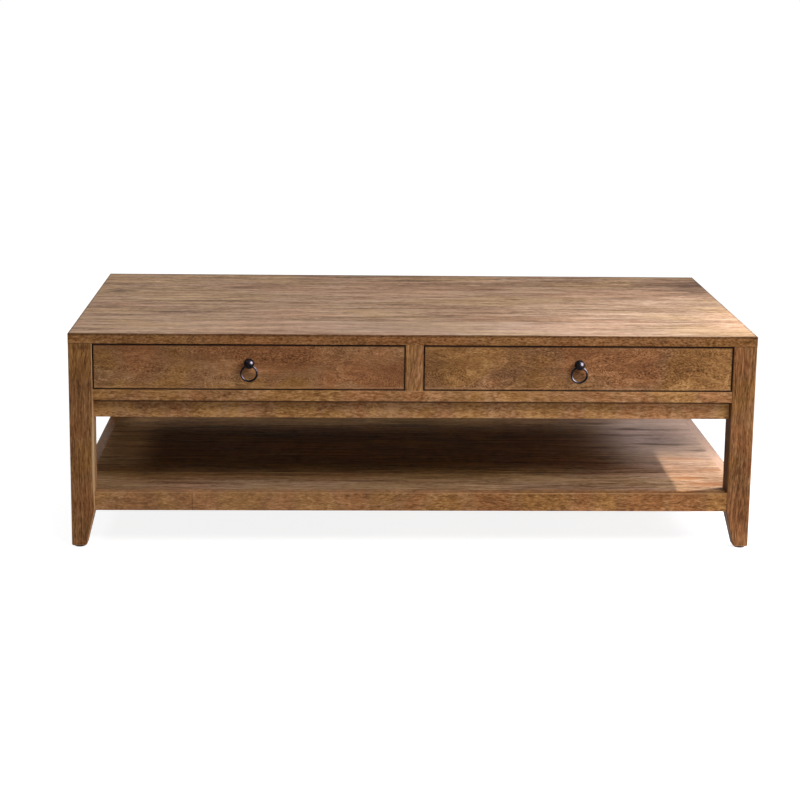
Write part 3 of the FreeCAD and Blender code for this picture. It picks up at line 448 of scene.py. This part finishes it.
# Across the slanting split in the top's front edge
SPLIT_ACROSS = (0.76, 0, -0.65)
OWN_MARKS = {
    "drawer_left_front": drawer_marks(
        "drawer_left_front", ((0.02, 0, 0.4), (0.05, 0.05, 0.05), 0.4)),
    "drawer_right_front": drawer_marks(
        "drawer_right_front", ((0.02, 0, 0.55), (0.05, 0.05, 0.05), 0.45),
        ((0.28, 0, 0.3), (0.07, 0.05, 0.04), 0.3)),
    "front_apron": [
        # A painted shadow line just under the drawer rail.
        hairline((0, 0, RAIL_BOTTOM - 0.0062), UPWARD, 0.003, 0.8, side=FRONTWARD)],
    # Painted gap shade on both sides of the stile.
    "centre_stile": [painted_gap_shade(LEFTWARD), painted_gap_shade(RIGHTWARD)],
    "leg_front_left": [
        # A painted highlight along the leg's inner front edge.
        hairline(shares_of("leg_front_left", 1, 0, 0), RIGHTWARD, 0.0022, 0.5, patchy=0.3,
                 side=FRONTWARD, colour=LIGHT_FRAME),
        *blots("leg_front_left", ((0.6, 0, 0.985), (0.03, 0.02, 0.007), 0.5)),
        # Painted light on the leg's inner face, and a pale painted light strip on it.
        patch(shares_of("leg_front_left", 1, 0, 0.5), (0.05, 0.2, 0.4), 0.6, LIGHT_FRAME,
              side=RIGHTWARD),
        patch(shares_of("leg_front_left", 1, 0, 0.44), (0.005, 0.02, 0.12), 0.75, PAINTED_LIGHT_TAN),
        # The joint line under the top, and painted gap shade on the inner face beside the drawer.
        under_top_line("leg_front_left"), painted_gap_shade(RIGHTWARD, above=OPENING_BOTTOM)],
    "leg_front_right": [
        shade(shares_of("leg_front_right", 0, 0, 0.5), (0.05, 0.2, 0.5), 0.85, INNER_SHADE,
              LEFTWARD),
        # The joint line under the top, and painted gap shade on the inner face beside the drawer.
        under_top_line("leg_front_right"), painted_gap_shade(LEFTWARD, above=OPENING_BOTTOM)],
    "top_board_1": [
        hairline((0, 0, TABLE_TOP - 0.0028), UPWARD, 0.0028, 0.5, side=FRONTWARD),
        hairline(shares_of("top_board_1", 0.178, 0, 0.5), SPLIT_ACROSS, 0.0012, 0.7,
                 side=FRONTWARD),
        # A painted highlight on the top's front middle.
        patch((0.03, -0.25, TABLE_TOP), (0.4, 0.14, 0.02), 0.2, PAINTED_LIGHT, side=UPWARD),
        *blots("top_board_1", ((0.426, 0, 0.35), (0.01, 0.02, 0.006), 0.7),
               ((0.86, 0, 0.5), (0.02, 0.02, 0.006), 0.5))],
    "top_board_2": blots(
        "top_board_2", ((0.136, 0.66, 1), (0.1, 0.011, 0.03), 0.75),
        ((0.761, 0.54, 1), (0.13, 0.011, 0.03), 0.7),
        ((0.793, 0.24, 1), (0.12, 0.012, 0.03), 0.6),
        ((0.828, 0.97, 1), (0.12, 0.011, 0.03), 0.7)),
    "top_board_3": blots("top_board_3", ((0.179, 0.56, 1), (0.14, 0.012, 0.03), 0.8)),
    "top_board_4": blots(
        "top_board_4", ((0.985, 0.43, 1), (0.05, 0.05, 0.05), 0.4),
        ((0.036, 0.36, 1), (0.055, 0.03, 0.03), 1.0),
        ((0.07, 0.62, 1), (0.08, 0.03, 0.03), 0.6),
        ((1.0, 0.9, 1), (0.12, 0.08, 0.05), 0.85)),
    "top_board_5": blots(
        "top_board_5", ((1.0, 0.3, 1), (0.16, 0.13, 0.05), 0.85),
        ((0.79, 0.85, 1), (0.13, 0.02, 0.05), 0.6)),
    "front_drawer_rail": [
        # A painted highlight along the rail's top edge, and painted gap shade on its top face.
        hairline(shares_of("front_drawer_rail", 0, 0, 1), UPWARD, 0.0026, 0.5, patchy=0.3,
                 side=FRONTWARD, colour=LIGHT_FRAME),
        painted_gap_shade(UPWARD),
        *blots("front_drawer_rail", ((0.512, 0, 0.42), (0.0035, 0.02, 0.003), 0.9),
               ((0.521, 0, 0.3), (0.003, 0.02, 0.003), 0.8))],
    "shelf_side_rail_right": [
        # Painted light on the rail's upper face.
        patch((0.69, 0.1, SHELF_TOP), (0.1, 0.5, 0.1), 0.45, PAINTED_LIGHT, side=UPWARD)],
    "shelf_side_rail_left": [
        shade((-0.68, 0, SHELF_TOP), (0.1, 0.7, 0.1), 0.9, side=UPWARD)],
    "shelf_front_rail": [
        patch((-0.42, -0.34, 0.1), (0.45, 0.1, 0.1), 0.2, LIGHT_FRAME),
        shade((0.42, -0.34, 0.1), (0.45, 0.1, 0.1), 0.35),
        hairline(shares_of("shelf_front_rail", 0.165, 0, 0.5), RIGHTWARD, 0.0012, 0.6,
                 side=FRONTWARD),
        # A painted highlight along the rail's top edge.
        hairline(shares_of("shelf_front_rail", 0, 0, 1), UPWARD, 0.0022, 0.55,
                 side=FRONTWARD, colour=LIGHT_FRAME)],
}
# The shelf's short streaks: x, y, reach along x, strength, colour
STREAK_REACH_ACROSS, STREAK_REACH_UP, STREAK_MARGIN = 0.016, 0.03, 0.01
SHELF_STREAKS = (
    (0.53, 0.186, 0.072, 0.9, BURNT), (0.61, 0.178, 0.08, 0.75, BURNT),
    (0.49, 0.13, 0.096, 0.825, BURNT), (0.45, 0.235, 0.096, 0.75, BURNT),
    (0.575, 0.05, 0.072, 0.9, BURNT), (0.655, 0.0, 0.04, 0.825, BURNT),
    (0.46, 0.02, 0.096, 0.6, BURNT), (0.58, 0.1, 0.048, 0.675, BURNT),
    (0.585, -0.225, 0.048, 0.9, TAN), (0.635, -0.27, 0.056, 0.975, TAN),
    (0.6, -0.07, 0.08, 0.75, TAN), (0.655, -0.16, 0.048, 0.75, TAN),
    (0.02, 0.21, 0.144, 0.75, BURNT), (-0.4, 0.19, 0.144, 0.675, BURNT),
)


def top_board_marks(name):
    """Glue lines, dark ends, and the dark line along the top's back edge."""
    ends = [hairline(shares_of(name, share, 0, 1), RIGHTWARD, 0.005, 0.5, side=UPWARD)
            for share in (0, 1)]
    back = [hairline(shares_of(name, 0, 1, 1), BACKWARD, 0.013, 0.65, side=UPWARD)]
    return board_lines(name, 0.75) + ends + (back if name == "top_board_5" else [])


def shelf_board_marks(name):
    """Glue lines, painted shade in the middle, at the left and near the front, painted light on
    the right end, and streaks.
    """
    low, high = (corner[1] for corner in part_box(name))
    return [
        *board_lines(name, 0.8),
        # Painted shade over the middle, the left end and a strip near the front.
        shade((-0.15, 0.1, SHELF_TOP), (0.78, 0.44, 0.1), 0.9),
        shade((-0.62, -0.02, SHELF_TOP), (0.22, 0.5, 0.1), 0.6),
        shade((-0.25, -0.175, SHELF_TOP), (0.85, 0.09, 0.1), 0.7),
        # Painted light on the right end.
        patch((0.66, 0.14, SHELF_TOP), (0.34, 0.34, 0.1), 0.45, PAINTED_LIGHT),
        *(blot((x, y, SHELF_TOP), (reach, STREAK_REACH_ACROSS, STREAK_REACH_UP), strength, colour)
          for x, y, reach, strength, colour in SHELF_STREAKS
          if low - STREAK_MARGIN < y < high + STREAK_MARGIN)]


def marks_of(name):
    marks = OWN_MARKS.get(name, [])
    if name.startswith("top_board"):
        return marks + top_board_marks(name)
    if name.startswith("shelf_board"):
        return marks + shelf_board_marks(name)
    return marks


# Metal and plastic
def bronze(name, seed):
    shader = Shader(name)
    shifted = shader.vector_math("ADD", shader.place(), (seed, seed, seed))
    cloud = shader.noise(shifted, scale=160, detail=4.0, roughness=0.6)
    grit = shader.noise(shifted, scale=900, detail=3.0, roughness=0.6)
    colour = shader.ramp(cloud, [(0.3, srgb(12, 10, 13)), (0.5, srgb(20, 18, 21)),
                                 (0.75, srgb(36, 33, 35))])
    height = shader.math("ADD", cloud, shader.times(grit, 0.35))
    return shader.surface(colour=colour, metallic=1.0,
                          roughness=shader.span(grit, 0.3, 0.7, 0.24, 0.34),
                          normal=shader.bump(height, 0.0002, 0.3))


def zinc(name):
    shader = Shader(name)
    crystal = shader.noise(shader.place(), scale=500, detail=3.0)
    return shader.surface(
        colour=shader.ramp(crystal, [(0.35, srgb(150, 150, 146)), (0.65, srgb(188, 188, 184))]),
        metallic=1.0, roughness=shader.span(crystal, 0.3, 0.7, 0.28, 0.42),
        normal=shader.bump(crystal, 0.0001, 0.4))


def black_plastic(name):
    shader = Shader(name)
    grain = shader.noise(shader.place(), scale=1400)
    return shader.surface(
        colour=shader.ramp(grain, [(0.3, srgb(20, 20, 20)), (0.7, srgb(34, 33, 32))]),
        roughness=shader.span(grain, 0.3, 0.7, 0.5, 0.68),
        normal=shader.bump(grain, 0.0002, 0.4))


# Finishing of each node. A wooden node takes the first row that its name starts with.
WOODS = (
    ("top", "x", ("top_board",)),
    ("leg", "z", ("leg_", "centre_stile")),
    ("rail", "x", ("front_drawer_rail", "front_apron", "shelf_front_rail")),
    ("panel", "x", ("back_apron", "shelf_back_rail")),
    ("panel", "y", ("side_apron", "shelf_side_rail")),
    ("shelf", "x", ("shelf_board",)),
    ("drawer", "x", ("drawer_left_front",)),
    ("bold_drawer", "x", ("drawer_right_front",)),
    ("inside", "x", ("drawer_stops", "drawer_left_back", "drawer_right_back",
                     "drawer_left_bottom", "drawer_right_bottom")),
    ("inside", "y", ("drawer_", "shelf_cleat", "shelf_cross_bearer", "side_runner",
                     "side_guide", "centre_", "kicker")),
)
TONES = (0.0, 0.03, -0.025, 0.02, -0.03, 0.035, -0.015)
# The front apron's raised tone is painted light, against the shade under the drawer rail.
NODE_TONES = {
    "top_board_1": 0.12, "top_board_2": 0.03, "top_board_3": 0.02, "top_board_4": 0.04,
    "top_board_5": -0.06, "front_drawer_rail": 0.16, "front_apron": 0.24,
    "shelf_front_rail": 0.09, "centre_stile": 0.18, "drawer_left_front": 0.035,
}
EDGE_WIDTHS = {"top_board": 0.00025, "shelf_board": 0.0004, "drawer_left_front": 0.0012,
               "drawer_right_front": 0.0012}
USUAL_EDGE = 0.0008
SHARP_ANGLE = math.radians(35)


def round_edges(piece, width):
    edges = piece.modifiers.new("edges", "BEVEL")
    edges.width = width
    edges.segments = 2
    edges.limit_method = "ANGLE"
    edges.angle_limit = SHARP_ANGLE
    edges.harden_normals = False
    edges.use_clamp_overlap = True


def dress(piece, material):
    piece.data.materials.clear()
    piece.data.materials.append(material)


def finish_node(number, name, piece):
    for look, grain, starts in WOODS:
        if name.startswith(starts):
            tone = NODE_TONES.get(name, TONES[number % len(TONES)])
            dress(piece, wood(name, LOOKS[look], grain, number + 1, tone, marks_of(name)))
            width = next((width for start, width in EDGE_WIDTHS.items()
                          if name.startswith(start)), USUAL_EDGE)
            round_edges(piece, width)
            return
    if name.startswith("foot_glide"):
        dress(piece, black_plastic(name))
    elif name.startswith("knob_nut") or name == "top_screws":
        dress(piece, zinc(name))
    else:
        dress(piece, bronze(name, number))


for number, (name, piece) in enumerate(sorted(NODES.items())):
    finish_node(number, name, piece)


# Floor and light. What the camera and reflections see of both is a white studio.
FLOOR_HALF = 40.0
FLOOR_NEAR, FLOOR_FAR = 1.6, 5.0
FLOOR_GLOW_NEAR, FLOOR_GLOW_FAR = 0.88, 1.0
FLOOR_SEEN, FLOOR_PLAIN = srgb(150, 150, 150), srgb(225, 223, 220)
SEEN_RAYS = ("Is Camera Ray", "Is Glossy Ray", "Is Transmission Ray")
WORLD_LIGHT, WORLD_SEEN = 0.025, 1.0
SPOT_BLEND = 0.8
COOL, FAINTLY_COOL, FAINTLY_WARM = srgb(222, 234, 255), srgb(230, 241, 255), srgb(255, 247, 238)


def build_floor():
    mesh = bpy.data.meshes.new("floor")
    mesh.from_pydata([(x * FLOOR_HALF, y * FLOOR_HALF, 0)
                      for x, y in ((-1, -1), (1, -1), (1, 1), (-1, 1))], [], [(0, 1, 2, 3)])
    floor = bpy.data.objects.new("floor", mesh)
    SCENE.collection.objects.link(floor)
    shader = Shader("floor")
    rays = shader.node("ShaderNodeLightPath").outputs
    seen = shader.math("MAXIMUM", rays[SEEN_RAYS[0]], rays[SEEN_RAYS[1]])
    seen = shader.math("MAXIMUM", seen, rays[SEEN_RAYS[2]])
    glow = shader.span(shader.vector_math("LENGTH", shader.place()), FLOOR_NEAR, FLOOR_FAR,
                       FLOOR_GLOW_NEAR, FLOOR_GLOW_FAR)
    catching = shader.node("ShaderNodeBsdfDiffuse", {"Color": FLOOR_SEEN})
    glowing = shader.node("ShaderNodeEmission", {"Color": WHITE, "Strength": glow})
    bright = shader.node("ShaderNodeAddShader", {0: catching.outputs[0], 1: glowing.outputs[0]})
    plain = shader.node("ShaderNodeBsdfDiffuse", {"Color": FLOOR_PLAIN})
    both = shader.node("ShaderNodeMixShader", {
        0: seen, 1: plain.outputs[0], 2: bright.outputs[0]})
    shader.node("ShaderNodeOutputMaterial", {"Surface": both.outputs[0]})
    dress(floor, shader.material)


def build_world():
    world = bpy.data.worlds.new("studio")
    SCENE.world = world
    world.use_nodes = True
    tree = world.node_tree
    tree.nodes.clear()
    rays = tree.nodes.new("ShaderNodeLightPath").outputs
    seen = rays[SEEN_RAYS[0]]
    for kind in SEEN_RAYS[1:]:
        either = tree.nodes.new("ShaderNodeMath")
        either.operation = "MAXIMUM"
        tree.links.new(seen, either.inputs[0])
        tree.links.new(rays[kind], either.inputs[1])
        seen = either.outputs[0]
    both = tree.nodes.new("ShaderNodeMixShader")
    tree.links.new(seen, both.inputs[0])
    for socket, level in zip(both.inputs[1:], (WORLD_LIGHT, WORLD_SEEN)):
        glow = tree.nodes.new("ShaderNodeBackground")
        glow.inputs["Color"].default_value = (*WHITE, 1)
        glow.inputs["Strength"].default_value = level
        tree.links.new(glow.outputs[0], socket)
    output = tree.nodes.new("ShaderNodeOutputWorld")
    tree.links.new(both.outputs[0], output.inputs["Surface"])


def add_lamp(name, kind, place, target, watts, tint):
    lamp = bpy.data.lights.new(name, kind)
    lamp.energy = watts
    lamp.color = tint
    item = bpy.data.objects.new(name, lamp)
    SCENE.collection.objects.link(item)
    item.location = place
    towards = Vector(target) - Vector(place)
    item.rotation_euler = towards.to_track_quat("-Z", "Y").to_euler()
    return item


def softbox(name, place, target, size, watts, tint=WHITE):
    item = add_lamp(name, "AREA", place, target, watts, tint)
    item.data.shape = "DISK"
    item.data.size = size
    return item


def spot(name, place, target, cone, radius, watts, tint=WHITE):
    lamp = add_lamp(name, "SPOT", place, target, watts, tint).data
    lamp.spot_size = math.radians(cone)
    lamp.spot_blend = SPOT_BLEND
    lamp.shadow_soft_size = radius


def keep_to(item, pieces):
    """Lets a lamp light some pieces alone."""
    lit = bpy.data.collections.new(item.name)
    for piece in pieces:
        lit.objects.link(piece)
    item.light_linking.receiver_collection = lit


build_floor()
build_world()
softbox("high_light", (0.9, -1.9, 2.9), (0.05, 0, 0.3), size=2.2, watts=30)
softbox("key_light", (1.6, -2.3, 2.5), (0.2, 0, 0.3), size=1.3, watts=63)
softbox("side_light", (3.0, 0.3, 1.55), (0.3, 0, 0.15), size=1.1, watts=16, tint=COOL)
softbox("left_light", (-2.7, -0.5, 2.9), (-0.3, 0, 0.3), size=1.0, watts=23)
softbox("back_light", (-0.8, 2.6, 2.5), (0, 0, 0.3), size=1.2, watts=42)
# Windows: on the top's right end, on the shelf's front right corner, and under the top
spot("window_light", (1.05, -0.36, 2.9), (0.75, -0.45, 0.45), cone=33, radius=0.06, watts=232,
     tint=FAINTLY_COOL)
spot("low_window_light", (2.2, 0.3, 1.9), (0.61, -0.25, 0.12), cone=13, radius=0.05, watts=410,
     tint=FAINTLY_WARM)
spot("shelf_light", (2.3, 0.55, 1.35), (0.6, 0.12, 0.12), cone=22, radius=0.42, watts=335,
     tint=COOL)
# A broad light that the dark metal alone takes, as a window shows in it
keep_to(softbox("fittings_light", (2.3, -1.5, 1.6), (-0.1, -0.35, 0.39), size=2.8, watts=2600),
        [NODES[name] for name in ("knob_left", "knob_right", "ring_left", "ring_right")])


# Camera at the photograph's viewing angle
CAMERA_PLACE = Vector((-0.1597, -3.9262, 1.1978))
YAW, PITCH, ROLL = math.radians(2.05), math.radians(10.79), math.radians(0.74)
SENSOR, LENS, SHIFT = 36.0, 81.52, -0.12


def build_camera():
    forward = Vector((math.sin(YAW) * math.cos(PITCH), math.cos(YAW) * math.cos(PITCH),
                      -math.sin(PITCH)))
    level_right = Vector((math.cos(YAW), -math.sin(YAW), 0))
    level_up = level_right.cross(forward)
    right = level_right * math.cos(ROLL) + level_up * math.sin(ROLL)
    up = level_up * math.cos(ROLL) - level_right * math.sin(ROLL)
    data = bpy.data.cameras.new("camera")
    data.sensor_width = SENSOR
    data.lens = LENS
    data.shift_y = SHIFT
    camera = bpy.data.objects.new("camera", data)
    SCENE.collection.objects.link(camera)
    turn = Matrix((right, up, -forward)).transposed()
    camera.matrix_world = Matrix.Translation(CAMERA_PLACE) @ turn.to_4x4()
    SCENE.camera = camera


build_camera()
